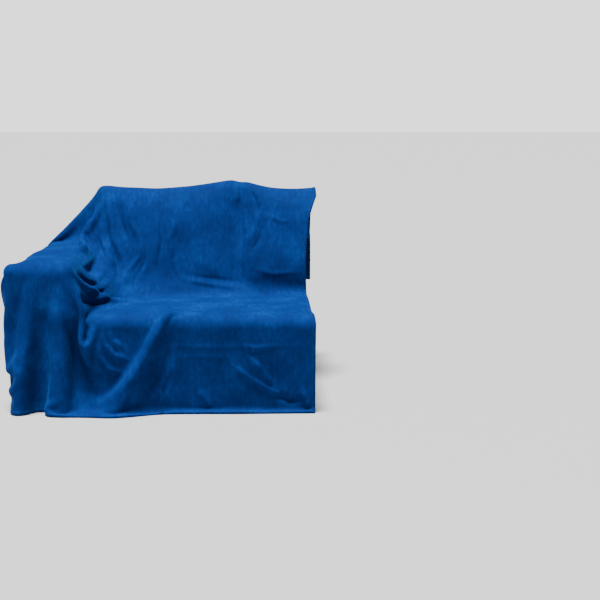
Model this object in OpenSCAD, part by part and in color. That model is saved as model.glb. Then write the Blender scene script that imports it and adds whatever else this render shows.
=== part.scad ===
// Plush heating blanket, in the shape it takes when it is laid over one end of a sofa.
// The origin is on the blanket's underside, at the middle of the seat that holds it.
// +X runs to the blanket's right edge, +Y to the back of the seat, +Z up.

/* [Support under the blanket] */
// Height of the seat above the floor
seat_h = 400; // [380:5:420]
// Width of the seat that the blanket covers
seat_w = 990; // [900:10:1050]
// Depth of the seat, from its front to the foot of the back cushion
seat_d = 540; // [500:10:580]
// Height of the armrest and the rear frame above the seat
arm_rise = 220; // [200:5:240]
// Width of the armrest with the slack beside it
arm_w = 265; // [240:5:290]
// Height of the back cushion above the seat
cushion_rise = 490; // [460:5:510]
// How far the back cushion leans to the rear
cushion_lean = 200; // [180:5:220]
// Thickness of the back cushion at its top
cushion_t = 150; // [130:5:170]
// Depth of the whole support
support_d = 1160; // [1120:10:1200]

/* [Drops] */
// How far the front edge stands out on the floor
hem_reach = 85; // [60:5:100]
// Length that hangs behind the rear frame
rear_drop = 230; // [200:5:250]
// Length that hangs outside the armrest
side_drop = 410; // [340:10:440]

/* [Layers] */
// Thickness of each plush ply
ply_t = 2.6; // [2:0.1:3]
// Thickness of the sheet that carries the element
carrier_t = 0.6; // [0.4:0.1:0.8]
// Thickness of the heating element
wire_t = 1.8; // [1.5:0.1:2]
// Width of the edge binding
binding_w = 14; // [12:1:18]
// Thickness of the edge binding
binding_t = 1.2; // [1:0.1:1.5]

/* [Heating element] */
// Element runs over the seat and back
seat_runs = 8; // [4:2:8]
// Distance from the outer runs to the ends of the seat zone
run_margin = 45; // [40:5:60]
// Distance from the front edge to the front turns
front_turn = 70; // [60:5:90]
// Distance from the rear edge to the rear turns
rear_turn = 100; // [90:5:120]

/* [Inlet] */
// Where the inlet sits across the rear edge
inlet_x = 250; // [150:10:320]
// Width of the inlet housing
housing_w = 52; // [50:1:56]
// Height of the inlet housing
housing_h = 36; // [34:1:40]
// Radius of each contact pin
pin_r = 1; // [0.8:0.1:1.2]

/* [Hidden] */

// Layer heights over the support, from the underside up
layer_gap = 0.2;
carrier_d = ply_t + layer_gap;
wire_d = carrier_d + carrier_t + layer_gap;
couching_d = wire_d + wire_t + 0.1;
couching_t = 0.25;
top_d = couching_d + couching_t + layer_gap;
stack_t = top_d + ply_t;

// Planes of the support
front_y = -seat_d / 2;
foot_y = seat_d / 2;
rear_y = front_y + support_d;
right_x = seat_w / 2;
wall_x = -seat_w / 2;
side_x = wall_x - arm_w;
cushion_top_y = foot_y + cushion_lean;
cushion_back_y = cushion_top_y + cushion_t;
rear_end_z = arm_rise - rear_drop;
side_end_z = arm_rise - side_drop;
// The path behind the cushion: how much lower its rear top edge is, and how far its foot leans
cushion_top_fall = 20;
cushion_foot_out = 85;

// The front drop leans out from just under the seat to the floor
flare_top_z = -30;
floor_lift = 4;
front_foot = [front_y - hem_reach, -seat_h + floor_lift];
flare_top = [front_y, flare_top_z];
flare_dir = (flare_top - front_foot) / norm(flare_top - front_foot);

// Radii of the bends over the seat and cushion, and over the armrest, from front to rear
seat_bends = [0, 0, 28, 30, 50, 40, 30, 25, 0];
arm_bends = [0, 0, 25, 25, 0];
fillet_steps = 4;

// Lengths past every outline, and the small overlap of touching pieces
far = 2000;
past = 1;
joint = 0.01;

// Plush colours of the two plies and the parts' plain colours
plush_blue = [0.02, 0.25, 0.55];
under_blue = [0.03, 0.20, 0.45];

// ---------- paths in the plane of depth and height ----------

function unit(v) = v / norm(v);
function left_of(v) = [-v[1], v[0]];
function cross2(a, b) = a[0] * b[1] - a[1] * b[0];

// Points of the arc of radius r that rounds corner b between a and c
function fillet(a, b, c, r) =
    let (
        u = unit(a - b),
        v = unit(c - b),
        half = acos(u * v) / 2,
        centre = b + unit(u + v) * r / sin(half),
        start = b + u * r / tan(half) - centre,
        turn = sign(cross2(b - a, c - b)) * (180 - 2 * half)
    )
    [for (i = [0 : fillet_steps])
        let (t = turn * i / fillet_steps)
        centre + [start[0] * cos(t) - start[1] * sin(t), start[0] * sin(t) + start[1] * cos(t)]];

// A path through corners, each rounded by its own radius
function rounded(corners, radii) = concat(
    [corners[0]],
    [for (i = [1 : len(corners) - 2])
        for (p = radii[i] > 0 ? fillet(corners[i - 1], corners[i], corners[i + 1], radii[i])
                              : [corners[i]]) p],
    [corners[len(corners) - 1]]);

// The same path moved out by d on its left side
function offset_path(p, d) =
    [for (i = [0 : len(p) - 1])
        let (
            n1 = left_of(unit(i == 0 ? p[1] - p[0] : p[i] - p[i - 1])),
            n2 = left_of(unit(i == len(p) - 1 ? p[i] - p[i - 1] : p[i + 1] - p[i]))
        )
        p[i] + (n1 + n2) * d / (1 + n1 * n2)];

function reversed(p) = [for (i = [len(p) - 1 : -1 : 0]) p[i]];

// The closed strip between two offsets of a path
function band(p, d0, d1) = concat(offset_path(p, d0), reversed(offset_path(p, d1)));

// Ends of the drops, after a margin is left free at each
function front_end(margin) = front_foot + flare_dir * margin;
function rear_end(margin) = [rear_y, rear_end_z + margin];

// Over the seat, up the cushion, over it and down behind
function seat_path(front_margin, rear_margin) = rounded(
    [front_end(front_margin), flare_top, [front_y, 0], [foot_y, 0],
     [cushion_top_y, cushion_rise], [cushion_back_y, cushion_rise - cushion_top_fall],
     [cushion_back_y + cushion_foot_out, arm_rise], [rear_y, arm_rise], rear_end(rear_margin)],
    seat_bends);

// Over the armrest and the rear frame
function arm_path(front_margin, rear_margin) = rounded(
    [front_end(front_margin), flare_top, [front_y, arm_rise], [rear_y, arm_rise],
     rear_end(rear_margin)],
    arm_bends);

// Lower edge of the side drop: near the floor by the front corner, rising, then straight
corner_out = 0.7 * hem_reach;
corner_lift = 20;
rise_in = [60, 90];
straight_in = 320;
function side_edge(margin) =
    [[front_y - corner_out, -seat_h + floor_lift + corner_lift + margin],
     [front_y + rise_in[0], -seat_h + rise_in[1] + margin],
     [front_y + straight_in, side_end_z + margin],
     [rear_y - margin, side_end_z + margin]];

// ---------- shapes shared by the layers ----------

// Extrudes a depth-height outline from x0 to x1
module slab_x(x0, x1) {
    translate([x0, 0, 0])
        rotate([90, 0, 90])
            linear_extrude(x1 - x0)
                children();
}

// All that lies under a path, down to far below the floor
module under_path(p, d) {
    q = offset_path(p, d);
    polygon(concat(q, [[q[len(q) - 1][0], -far], [q[0][0], -far]]));
}

// One layer of the draped blanket between heights d0 and d1, short of the free edges by margin
module draped_layer(d0, d1, margin) {
    seat = seat_path(margin, margin);
    arm = arm_path(margin, margin);
    top_z = arm_rise + d0;
    // over the seat and the cushion
    slab_x(wall_x + d0, right_x - margin)
        polygon(band(seat, d0, d1));
    // over the cushion's left end
    slab_x(wall_x - d1, wall_x + d0 + joint)
        intersection() {
            polygon(band(seat, d0, d1));
            translate([front_y, top_z])
                square([far, far]);
        }
    // over the armrest
    slab_x(side_x - d1, wall_x - d0)
        polygon(band(arm, d0, d1));
    // the front drop and the armrest's inner top edge
    slab_x(wall_x - d0 - joint, wall_x + d1)
        difference() {
            polygon(band(arm, d0, d1));
            under_path(seat, d0);
            translate([cushion_top_y, -far])
                square([far, 2 * far]);
        }
    slab_x(wall_x - d0 - joint, wall_x + d0 + joint)
        intersection() {
            polygon(band(arm, d0, d1));
            translate([-far, -far])
                square([far + front_y + d0, far + 1]);
        }
    // the rear frame and the rear drop under the cushion's left end
    slab_x(wall_x - d0 - joint, wall_x + d0 + joint)
        intersection() {
            polygon(band(arm, d0, d1));
            translate([cushion_back_y + cushion_foot_out + 5, -far])
                square([far, 2 * far]);
        }
    // down the armrest's inner side
    slab_x(wall_x + d0, wall_x + d1)
        difference() {
            translate([front_y - d1, d0])
                square([cushion_top_y - front_y, arm_rise + d1 - d0]);
            under_path(seat, d0);
        }
    // down the cushion's left side
    slab_x(wall_x - d1, wall_x - d0)
        intersection() {
            under_path(seat, d1);
            translate([foot_y, top_z])
                square([far, far]);
        }
    // the side drop, outside the armrest
    slab_x(side_x - d1, side_x - d0)
        intersection() {
            under_path(arm, d1);
            polygon(concat(side_edge(margin), [[rear_y + d1, side_end_z + margin],
                                               [rear_y + far, far], [-far, far],
                                               [-far, -seat_h + floor_lift + margin]]));
        }
}

// The notch that the inlet housing leaves in the rear edge of a layer
notch_reach = 50;
module inlet_cutout(clear) {
    translate([inlet_x - housing_w / 2 - clear, rear_y - notch_reach, rear_end_z - notch_reach])
        cube([housing_w + 2 * clear, 2 * notch_reach,
              notch_reach + housing_h - housing_below + clear]);
}

// ---------- plies ----------

// How far the carrier stays short of the blanket's edges
carrier_margin = 25;

module top_plush() {
    color(plush_blue)
        difference() {
            draped_layer(top_d, stack_t, 0);
            inlet_cutout(layer_gap);
        }
}

module under_plush() {
    color(under_blue)
        difference() {
            draped_layer(0, ply_t, binding_w + layer_gap);
            inlet_cutout(layer_gap);
        }
}

module heater_carrier() {
    color("ivory")
        difference() {
            draped_layer(carrier_d, carrier_d + carrier_t, carrier_margin);
            inlet_cutout(layer_gap);
        }
}

// ---------- heating element ----------

// Positions of the runs across the seat and, last, of the two on the armrest
run_pitch = (seat_w - 2 * run_margin) / (seat_runs - 1);
arm_run_x = [wall_x - 75, side_x + 70];
run_x = concat([for (i = [0 : seat_runs - 1]) right_x - run_margin - i * run_pitch], arm_run_x);
couching_over = 1.4;

// Run i, with width w, from height d up by t, over the seat or the armrest
module run(i, w, d, t) {
    p = i < seat_runs ? seat_path(front_turn, rear_turn) : arm_path(front_turn, rear_turn);
    slab_x(run_x[i] - w / 2, run_x[i] + w / 2)
        polygon(band(p, d, d + t));
}

module heating_wire() {
    half = wire_t / 2;
    color("darkorange") {
        for (i = [0 : len(run_x) - 1])
            run(i, wire_t, wire_d, wire_t);
        for (i = [0 : 2 : len(run_x) - 2])
            slab_x(run_x[i + 1] - half, run_x[i] + half)
                polygon(band([front_end(front_turn), front_end(front_turn + wire_t)],
                             wire_d, wire_d + wire_t));
        for (i = [1 : 2 : len(run_x) - 3])
            slab_x(run_x[i + 1] - half, run_x[i] + half)
                polygon(band([rear_end(rear_turn + wire_t), rear_end(rear_turn)],
                             wire_d, wire_d + wire_t));
    }
}

// The thread over each run, a little wider than the wire
module wire_couching() {
    color("white")
        for (i = [0 : len(run_x) - 1])
            run(i, wire_t + couching_over, couching_d, couching_t);
}

// ---------- leads and what is on them ----------

lead_y = rear_y + wire_d;
near_lead_z = rear_end_z + 70;
far_lead_z = rear_end_z + 52;
// How far each lead leaves the inlet to its side
lead_out = 6;
crimp_l = 9;
crimp_w = 3;
cutout_l = 16;
cutout_w = 5;
cutout_x = [100, -300];
block_top_z = rear_end_z + 23;

// A bar in the lead's layer, from corner a to corner b in the plane of the rear drop
module rear_bar(a, b) {
    lo = [min(a[0], b[0]) - wire_t / 2, min(a[1], b[1]) - wire_t / 2];
    hi = [max(a[0], b[0]) + wire_t / 2, max(a[1], b[1]) + wire_t / 2];
    translate([lo[0], lead_y, lo[1]])
        cube([hi[0] - lo[0], wire_t, hi[1] - lo[1]]);
}

// A bar from the inlet along the rear drop to the end of the run at x, in line with its crimp
module lead(from_x, along_z, to_x) {
    rear_bar([from_x, block_top_z + wire_t / 2], [from_x, along_z]);
    rear_bar([from_x, along_z], [to_x, along_z]);
    rear_bar([to_x, along_z], [to_x, rear_end_z + rear_turn - crimp_l - wire_t / 2]);
}

module cutout_body(x) {
    translate([x - cutout_l / 2, lead_y, far_lead_z - cutout_w / 2])
        cube([cutout_l, wire_t, cutout_w]);
}

module lead_wires() {
    color("firebrick")
        difference() {
            union() {
                lead(inlet_x + lead_out, near_lead_z, run_x[0]);
                lead(inlet_x - lead_out, far_lead_z, run_x[len(run_x) - 1]);
            }
            for (x = cutout_x)
                cutout_body(x);
        }
}

module crimp_splices() {
    color("silver")
        for (x = [run_x[0], run_x[len(run_x) - 1]])
            translate([x - crimp_w / 2, lead_y, rear_end_z + rear_turn - crimp_l])
                cube([crimp_w, wire_t, crimp_l]);
}

module overheat_cutouts() {
    color("dimgray")
        for (x = cutout_x)
            cutout_body(x);
}

// The sensor lies on the seat, midway between two runs
sensor_x = (run_x[1] + run_x[2]) / 2;
sensor_y = foot_y - 60;
sensor_w = 6;
sensor_lead_w = 1.2;
sensor_lead_z = rear_end_z + 34;
// The step where the sensor's lead passes under another wire: its depth, width and offset
under_wire = [1.0, 4, -1.6];

module temperature_sensor() {
    color("black")
        translate([sensor_x - sensor_w / 2, sensor_y - 2 * sensor_w, wire_d])
            cube([sensor_w, 2 * sensor_w, wire_t]);
}

module sensor_lead() {
    color("gold") {
        difference() {
            slab_x(sensor_x - sensor_lead_w / 2, sensor_x + sensor_lead_w / 2)
                intersection() {
                    polygon(band(seat_path(front_turn, sensor_lead_z - rear_end_z),
                                 wire_d, wire_d + wire_t));
                    translate([sensor_y, -far])
                        square([far, 2 * far]);
                }
            // it passes under the turn and the leads of the element
            for (z = [rear_end_z + rear_turn, near_lead_z, far_lead_z])
                translate([sensor_x - wire_t, lead_y - joint, z + under_wire[2]])
                    cube([2 * wire_t, under_wire[0], under_wire[1]]);
        }
        translate([sensor_x - sensor_lead_w / 2, lead_y, sensor_lead_z])
            cube([inlet_x - sensor_x + sensor_lead_w, wire_t, sensor_lead_w]);
        translate([inlet_x - sensor_lead_w / 2, lead_y, block_top_z])
            cube([sensor_lead_w, wire_t, sensor_lead_z - block_top_z + sensor_lead_w]);
    }
}

// ---------- edge binding ----------

leg_d = [layer_gap, layer_gap + binding_t];
top_leg_d = [stack_t + layer_gap, stack_t + layer_gap + binding_t];
cap_t = binding_t + layer_gap;

// Section of the binding on a straight edge: end is the edge, dir points into the blanket
module binding_section(end, dir, out) {
    function at(s, d) = end + dir * s + out * d;
    polygon([at(-cap_t, leg_d[0]), at(binding_w, leg_d[0]), at(binding_w, leg_d[1]),
             at(-layer_gap, leg_d[1]), at(-layer_gap, top_leg_d[0]),
             at(binding_w, top_leg_d[0]), at(binding_w, top_leg_d[1]),
             at(-cap_t, top_leg_d[1])]);
}

module front_hem() {
    color(plush_blue)
        slab_x(side_x - stack_t, right_x + cap_t)
            binding_section(front_foot, flare_dir, left_of(flare_dir));
}

module rear_hem() {
    clear = flange_over + layer_gap;
    color(plush_blue)
        difference() {
            slab_x(side_x - stack_t, right_x + cap_t)
                binding_section(rear_end(0), [0, 1], [1, 0]);
            inlet_cutout(clear);
        }
}

// Along the right edge, from the front binding to the rear one
module right_hem() {
    ends = binding_w + layer_gap;
    color(plush_blue)
        difference() {
            slab_x(right_x - binding_w, right_x + cap_t)
                polygon(band(seat_path(ends, ends), leg_d[0], top_leg_d[1]));
            slab_x(right_x - binding_w - past, right_x + layer_gap)
                polygon(band(seat_path(ends - past, ends - past), leg_d[1], top_leg_d[0]));
        }
}

// The lower edge of the side drop, short of the bindings at its ends by front and rear
function side_edge_between(front, rear) =
    let (edge = side_edge(0))
    [edge[0] + unit(edge[1] - edge[0]) * front, edge[1], edge[2], [rear_y - rear, edge[3][1]]];

// Along the lower edge of the side drop
module left_hem() {
    front = 3 * binding_w;
    color(plush_blue)
        difference() {
            slab_x(side_x - top_leg_d[1], side_x - leg_d[0])
                polygon(band(side_edge_between(front, binding_w), -cap_t, binding_w));
            slab_x(side_x - top_leg_d[0], side_x - leg_d[1])
                polygon(band(side_edge_between(front - past, binding_w - past),
                             -layer_gap, binding_w + past));
        }
}

// One thread row on each binding, a few millimetres in from its inner side
thread_w = 0.8;
thread_t = 0.4;
thread_s = binding_w - 3;
thread_d = top_leg_d[1];
thread_end = binding_w + 2;

module hem_stitching() {
    seat = seat_path(thread_end, thread_end);
    side = side_edge_between(3.2 * binding_w, thread_end);
    color("navy") {
        slab_x(side_x, right_x)
            polygon(band([front_end(thread_s - thread_w), front_end(thread_s)],
                         thread_d, thread_d + thread_t));
        difference() {
            slab_x(side_x, right_x)
                polygon(band([rear_end(thread_s), rear_end(thread_s - thread_w)],
                             thread_d, thread_d + thread_t));
            inlet_cutout(flange_over + thread_w);
        }
        slab_x(right_x - thread_s, right_x - thread_s + thread_w)
            polygon(band(seat, thread_d, thread_d + thread_t));
        slab_x(side_x - thread_d - thread_t, side_x - thread_d)
            polygon(band(side, thread_s - thread_w, thread_s));
    }
}

// ---------- the cord's inlet, in the rear edge ----------

// The housing reaches this far below the rear edge
housing_below = 6;
housing_wall = 1.8;
tub_d = 4.5;
flange_over = 5;
flange_t = 1.8;
mouth_w = 26;
lead_slot_w = 20;
boss_r = 3.2;
screw_r = 1.2;
screw_head_r = 2.3;
screw_head_t = 1.1;
bore_clear = 0.05;
screw_x = housing_w / 2 - 6.5;
screw_z = 22;
lead_slot_half = 1.6;
mid_d = stack_t / 2;
split_gap = 0.05;
seat_gap = 0.1;
block_w = 28;
block_h = 10;
block_cap = 3;
block_z = block_top_z - block_h - rear_end_z + housing_below;
pin_l = 9;
pin_pitch = 6;

// Places a piece in the housing's frame: x across, y out from the support, z up from its foot
module in_housing() {
    translate([inlet_x, rear_y, rear_end_z - housing_below])
        children();
}

// A box centred on x from height z0 to z1, between depths y0 and y1
module housing_box(w, y0, y1, z0, z1) {
    translate([-w / 2, y0, z0])
        cube([w, y1 - y0, z1 - z0]);
}

// A cylinder along the housing's depth
module depth_rod(x, z, r, y0, y1) {
    translate([x, y0, z])
        rotate([-90, 0, 0])
            cylinder(h = y1 - y0, r = r, $fn = 32);
}

// Half of the housing on the support's side; the other half is its mirror image in depth
module half_shell(floor_out) {
    floor_in = floor_out + housing_wall;
    split = mid_d - split_gap;
    difference() {
        union() {
            difference() {
                housing_box(housing_w, floor_out, split, 0, housing_h);
                housing_box(housing_w - 2 * housing_wall, floor_in, split + past,
                            housing_wall, housing_h - housing_wall);
            }
            // the flange lies on the fabric round three sides of the housing
            difference() {
                housing_box(housing_w + 2 * flange_over, -flange_t - layer_gap, -layer_gap,
                            0, housing_h + flange_over);
                housing_box(housing_w - 2 * housing_wall, -flange_t - past, past,
                            housing_wall, housing_h - housing_wall);
            }
            for (s = [-1, 1])
                depth_rod(s * screw_x, screw_z, boss_r, floor_in - joint, split);
        }
        // the mouth for the plug and the way in for the leads
        housing_box(mouth_w, floor_in, split + past, -past, housing_wall + past);
        housing_box(lead_slot_w, mid_d - lead_slot_half, split + past,
                    housing_h - housing_wall - past, housing_h + past);
        for (s = [-1, 1])
            depth_rod(s * screw_x, screw_z, screw_r + bore_clear, floor_out - past, split + past);
    }
}

shell_floor_d = -tub_d - housing_wall;

module socket_lower_shell() {
    color("dimgray")
        in_housing()
            difference() {
                half_shell(shell_floor_d);
                for (s = [-1, 1])
                    depth_rod(s * screw_x, screw_z, screw_head_r + seat_gap,
                              shell_floor_d - past, shell_floor_d + seat_gap + screw_head_t);
            }
}

module socket_upper_shell() {
    color("dimgray")
        in_housing()
            translate([0, 2 * mid_d, 0])
                mirror([0, 1, 0])
                    half_shell(shell_floor_d);
}

// The block stands between the two shells' floors, behind the pins
module contact_block() {
    color("ivory")
        in_housing()
            difference() {
                housing_box(block_w, seat_gap - tub_d, stack_t + tub_d - seat_gap,
                            block_z, block_z + block_h);
                for (i = [-1 : 1])
                    translate([i * pin_pitch, mid_d, block_z - past])
                        cylinder(h = block_h - block_cap + past, r = pin_r, $fn = 32);
            }
}

module contact_pins() {
    color("goldenrod")
        in_housing()
            for (i = [-1 : 1])
                translate([i * pin_pitch, mid_d, block_z - pin_l])
                    cylinder(h = pin_l + block_h - block_cap - joint, r = pin_r, $fn = 32);
}

module socket_screws() {
    shaft_end = stack_t + tub_d - 2 * seat_gap;
    head_d = shell_floor_d + seat_gap;
    color("silver")
        in_housing()
            for (s = [-1, 1]) {
                depth_rod(s * screw_x, screw_z, screw_r, head_d + screw_head_t / 2, shaft_end);
                depth_rod(s * screw_x, screw_z, screw_head_r, head_d, head_d + screw_head_t);
            }
}

// Fabric reinforcement on the outer face, round the flange
patch_w = 96;
patch_h = 66;
patch_t = 0.8;
patch_foot = binding_w + housing_below + 2;
patch_seam = 3;

// The patch without a border of width inset along each of its edges
module patch_outline(inset, t) {
    difference() {
        housing_box(patch_w - 2 * inset, 0, t, patch_foot + inset, patch_h - inset);
        housing_box(housing_w + 2 * (flange_over + layer_gap + inset), -past, t + past,
                    -past, housing_h + flange_over + layer_gap + inset);
    }
}

module socket_patch() {
    color("midnightblue")
        in_housing()
            translate([0, stack_t + layer_gap, 0])
                patch_outline(0, patch_t);
}

module patch_stitching() {
    color("royalblue")
        in_housing()
            translate([0, stack_t + layer_gap + patch_t, 0])
                difference() {
                    patch_outline(patch_seam, thread_t);
                    translate([0, -past, 0])
                        patch_outline(patch_seam + thread_w, thread_t + 2 * past);
                }
}

// ---------- label ----------

label_x = inlet_x + 120;
label_w = 34;
label_h = 48;
label_t = 0.4;
label_seam_z = [3, 6];
label_seam_in = 2;

module care_label() {
    color("whitesmoke")
        translate([label_x, rear_y + mid_d, rear_end_z - cap_t - label_h])
            cube([label_w, label_t, label_h]);
}

module label_stitching() {
    color("white")
        for (z = label_seam_z)
            translate([label_x + label_seam_in, rear_y + thread_d, rear_end_z + z])
                cube([label_w - 2 * label_seam_in, thread_t, thread_w]);
}

top_plush();
under_plush();
heater_carrier();
heating_wire();
wire_couching();
lead_wires();
crimp_splices();
overheat_cutouts();
temperature_sensor();
sensor_lead();
front_hem();
rear_hem();
left_hem();
right_hem();
hem_stitching();
socket_lower_shell();
socket_upper_shell();
contact_block();
contact_pins();
socket_screws();
socket_patch();
patch_stitching();
care_label();
label_stitching();
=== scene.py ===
import math
import bpy
import numpy as np
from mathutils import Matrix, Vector


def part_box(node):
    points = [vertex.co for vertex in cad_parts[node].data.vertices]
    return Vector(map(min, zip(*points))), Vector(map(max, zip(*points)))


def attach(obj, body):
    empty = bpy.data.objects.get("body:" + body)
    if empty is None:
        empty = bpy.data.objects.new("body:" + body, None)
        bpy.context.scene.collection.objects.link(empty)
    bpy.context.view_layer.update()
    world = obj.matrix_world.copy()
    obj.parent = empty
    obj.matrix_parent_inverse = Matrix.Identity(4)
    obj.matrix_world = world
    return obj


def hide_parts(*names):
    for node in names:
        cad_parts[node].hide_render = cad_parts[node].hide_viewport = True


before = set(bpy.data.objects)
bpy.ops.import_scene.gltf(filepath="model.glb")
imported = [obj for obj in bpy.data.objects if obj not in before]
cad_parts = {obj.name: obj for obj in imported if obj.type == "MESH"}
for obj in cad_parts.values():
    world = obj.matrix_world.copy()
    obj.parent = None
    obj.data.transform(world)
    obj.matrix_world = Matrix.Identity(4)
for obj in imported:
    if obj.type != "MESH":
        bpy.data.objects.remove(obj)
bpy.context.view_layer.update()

# === Sizes, in metres ===
# The flat blanket has u from its right edge to its left one, v from its front edge to its rear
# one, and h up from the middle of its thickness.
MM = 0.001
FLAT_W, FLAT_L = 1.8, 2.2

shell_low, shell_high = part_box("socket_upper_shell")
label_low, label_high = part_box("care_label")

PLY_T = 2.6 * MM
STACK_T = 8.55 * MM
TOP_H = (STACK_T / 2 - PLY_T, STACK_T / 2)
UNDER_H = (-STACK_T / 2, PLY_T - STACK_T / 2)
CARRIER_H = (-1.475 * MM, -0.875 * MM)
WIRE_H, WIRE_R = 0.225 * MM, 0.9 * MM
COUCHING_H = 1.35 * MM
BIND_W, BIND_T = 14 * MM, 1.2 * MM
SEAM_GAP = 0.2 * MM
CARRIER_MARGIN = 25 * MM

# The support that the blanket lies on: its planes in the row frame
FRONT_Y, REAR_Y = -0.27, 0.89
RIGHT_X, WALL_X, SIDE_X = 0.495, -0.495, -0.735
ARM_Z, FLOOR_Z = 0.215, -0.40
REAR_END_Z = -0.010
INLET_U = RIGHT_X - (shell_low.x + shell_high.x) / 2
INLET_Y = REAR_Y + STACK_T / 2


def smooth(t):
    t = np.clip(t, 0.0, 1.0)
    return t * t * (3.0 - 2.0 * t)


def ramped(a, start, length):
    """Rises smoothly from 0 at the start to 1 a length on; a negative length runs back."""
    return smooth((a - start) / length)


def travelled(line):
    """How far along a line each of its points is."""
    return np.concatenate([[0], np.cumsum(np.linalg.norm(np.diff(line, axis=0), axis=1))])


def unit(a):
    return a / np.maximum(np.linalg.norm(a, axis=-1, keepdims=True), 1e-12)


# === The support as a signed distance, with the way out of it ===
BOXES = [
    # low corner, high corner, rounding
    ((SIDE_X, FRONT_Y, -0.6), (WALL_X, REAR_Y, ARM_Z), 0.045),
    ((SIDE_X, 0.71, -0.6), (1.4, REAR_Y, ARM_Z), 0.022),
    ((-0.440, FRONT_Y, -0.6), (1.4, 0.75, 0.0), 0.045),
    ((WALL_X - 0.05, FRONT_Y + 0.10, -0.6), (1.4, 0.75, 0.0), 0.045),
]
CUSHIONS = [
    # middle x, half width, how far the left and the right upper corner stand up
    (-0.167, 0.335, 0.14, 0.225),
    (0.485, 0.318, 0.25, 0.24),
]
CUSHION_FOOT = (0.345, 0.0)
CUSHION_UP = (0.371, 0.928)
CUSHION_HALF, CUSHION_THICK = 0.2473, 0.092
# how square a cushion's outline is, and how full its section
CUSHION_SQUARE, CUSHION_FULL = 12, 2.6
FOLDS = [
    # cones under the cloth, each with its top end, its bottom end and the radius at each;
    # the first three hold folds out from the front
    ((-0.665, -0.260, 0.16), (-0.712, -0.290, -0.42), 0.012, 0.036),
    ((-0.540, -0.246, 0.17), (-0.546, -0.300, -0.42), 0.016, 0.047),
    ((-0.100, -0.262, 0.00), (-0.335, -0.315, -0.42), 0.010, 0.034),
    # the edge that stands out along the armrest's front left corner
    ((-0.738, -0.248, 0.184), (-0.722, -0.245, 0.080), 0.026, 0.020),
    ((-0.735, -0.255, -0.150), (-0.720, -0.275, -0.420), 0.016, 0.024),
    # the armrest's soft inner side, which swells towards the seat
    ((-0.540, -0.200, 0.000), (-0.530, 0.330, -0.030), 0.090, 0.190),
]
PROPS = [
    # the back cushions' corners meet in a point under the cloth
    ((0.166, 0.470, 0.470), (0.166, 0.478, 0.525), 0.012, 0.005),
    # from the back cushion's corner down to the armrest the cloth is stretched straight
    ((-0.470, 0.500, 0.445), (-0.672, 0.550, 0.212), 0.016, 0.020),
]


def box_distance(p, low, high, rounding):
    """Distance from a rounded box, and the unit direction out of it."""
    middle = (np.array(low) + high) / 2
    half = (np.array(high) - low) / 2 - rounding
    q = p - middle
    over = np.abs(q) - half
    out = np.maximum(over, 0)
    length = np.linalg.norm(out, axis=1)
    distance = length + np.minimum(over.max(axis=1), 0) - rounding
    way = out / np.maximum(length, 1e-9)[:, None]
    inside = length < 1e-9
    if inside.any():
        face = over[inside].argmax(axis=1)
        flat = np.zeros((len(face), 3))
        flat[np.arange(len(face)), face] = 1
        way[inside] = flat
    return distance, way * np.where(q < 0, -1.0, 1.0)


def cushion_level(x, y, z, cushion):
    """1 on the surface of a leaning back cushion, less inside."""
    middle, half, left, right = cushion
    a = (x - middle) / half
    dy = y - (CUSHION_FOOT[0] + CUSHION_UP[0] * CUSHION_HALF)
    dz = z - (CUSHION_FOOT[1] + CUSHION_UP[1] * CUSHION_HALF)
    b = dy * CUSHION_UP[0] + dz * CUSHION_UP[1]
    c = (dz * CUSHION_UP[0] - dy * CUSHION_UP[1]) / CUSHION_THICK
    corner = left * np.clip(-a, 0, 1.2) ** 4 + right * np.clip((a + 0.3) / 1.3, 0, 1.1) ** 2
    b = b / (CUSHION_HALF * (1 + np.where(b > 0, corner, 0.0)))
    rim = np.abs(a) ** CUSHION_SQUARE + np.abs(b) ** CUSHION_SQUARE + 1e-12
    level = rim ** (CUSHION_FULL / CUSHION_SQUARE) + np.abs(c) ** CUSHION_FULL
    return level ** (1 / CUSHION_FULL)


def cushion_distance(p, cushion):
    e = 1e-4
    x, y, z = p.T
    level = cushion_level(x, y, z, cushion)
    slope = np.stack([cushion_level(x + e, y, z, cushion) - level,
                      cushion_level(x, y + e, z, cushion) - level,
                      cushion_level(x, y, z + e, cushion) - level], axis=1) / e
    steep = np.maximum(np.linalg.norm(slope, axis=1), 1e-6)
    return (level - 1) / steep, slope / steep[:, None]


def fold_distance(p, top, foot, top_r, foot_r):
    top = np.array(top)
    line = np.array(foot) - top
    t = np.clip((p - top) @ line / (line @ line), 0, 1)
    q = p - top - t[:, None] * line
    length = np.maximum(np.linalg.norm(q, axis=1), 1e-9)
    return length - (top_r + (foot_r - top_r) * t), q / length[:, None]


def support(p):
    """Distance of each point from the nearest surface of the support, and the way out."""
    distance = p[:, 2] - FLOOR_Z
    way = np.zeros_like(p)
    way[:, 2] = 1

    def nearer(index, found):
        d, n = found
        m = d < distance[index]
        distance[index[m]] = d[m]
        way[index[m]] = n[m]

    # the folds, the props and the cushions only count for the points of their own region
    everywhere = np.arange(len(p))
    for box in BOXES:
        nearer(everywhere, box_distance(p, *box))
    front = np.flatnonzero((p[:, 1] < -0.1) | (p[:, 0] < -0.3) & (p[:, 1] < 0.6))
    for fold in FOLDS:
        nearer(front, fold_distance(p[front], *fold))
    back = np.flatnonzero((p[:, 2] > -0.03) & (p[:, 1] > 0.2) & (p[:, 1] < 0.72)
                          & (p[:, 0] > -0.72))
    for prop in PROPS:
        nearer(back, fold_distance(p[back], *prop))
    for cushion in CUSHIONS:
        nearer(back, cushion_distance(p[back], cushion))
    return distance, way


# === The blanket as it is laid on by hand, before it settles ===
# how far the middle of the thickness stays off the support
REST = 0.005
# spare length drawn out on the seat's left half; it grows from SLACK_U to twice as far
SLACK, SLACK_U = 0.06, 0.5
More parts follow.
